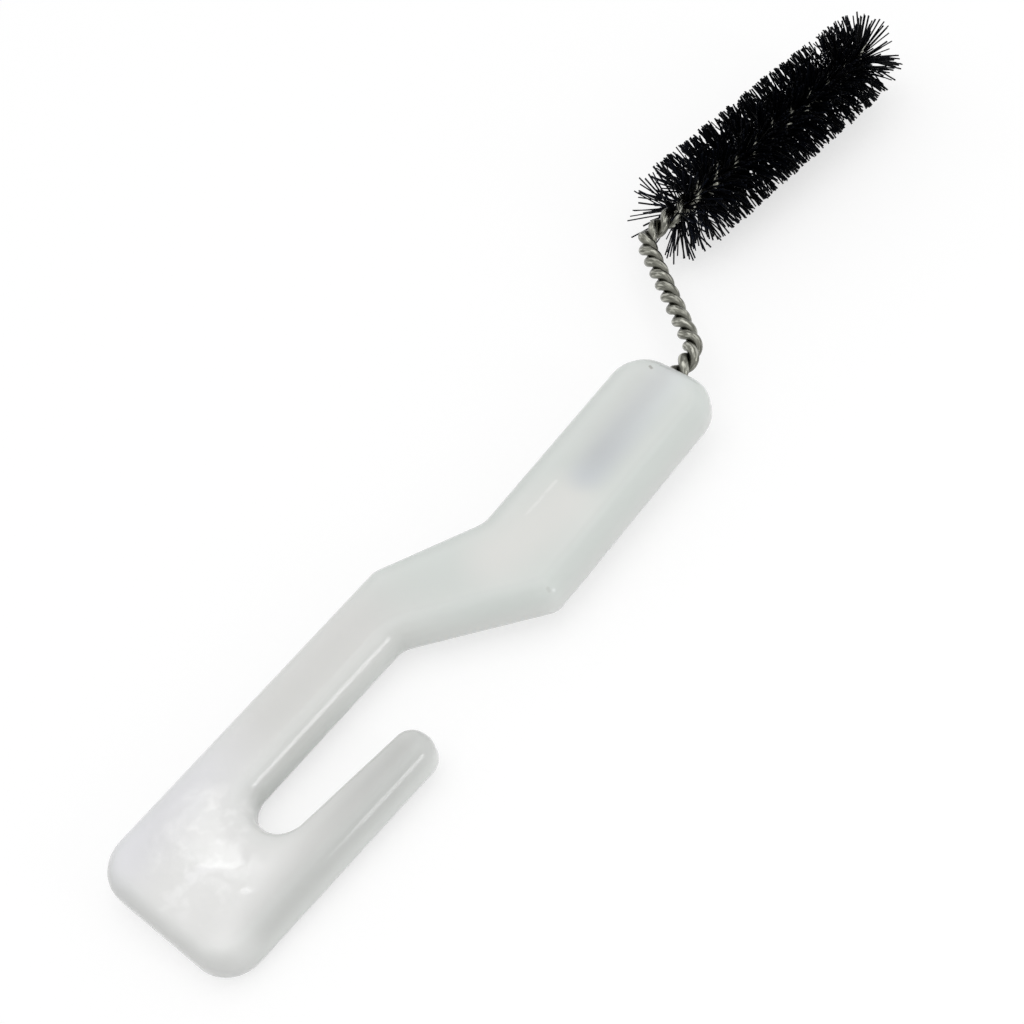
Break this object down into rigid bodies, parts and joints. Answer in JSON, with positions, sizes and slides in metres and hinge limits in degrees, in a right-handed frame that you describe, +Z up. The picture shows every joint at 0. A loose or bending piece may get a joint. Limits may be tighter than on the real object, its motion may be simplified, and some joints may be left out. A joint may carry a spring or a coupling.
{
  "type": "awning rail cleaning brush",
  "caption": "Flat cranked plastic handle with a hook slot at one end and a cranked stem of twisted wire at the other, ending in a round bristle brush for scrubbing a rail's channel.",
  "frame": {"origin": "on the handle's flat back, half way along the handle and on the centre line of its shaft", "axes": "+X along the shaft from the hook to the brush, +Y to the side that the brush is cranked to, +Z up from the handle's back"},
  "size_m": [0.2003, 0.0457, 0.0177],
  "materials": {
    "handle_plastic": "milky white, slightly see-through, soft gloss",
    "wire_steel": "drawn wire, satin",
    "bristle_nylon": "black filament, faintly blue"
  },
  "bodies": {
    "root": {"handle": "handle_plastic", "wire_strand_a": "wire_steel", "wire_strand_b": "wire_steel", "bristles_1": "bristle_nylon", "bristles_2": "bristle_nylon", "bristles_3": "bristle_nylon", "bristles_4": "bristle_nylon"}
  },
  "joints": []
}
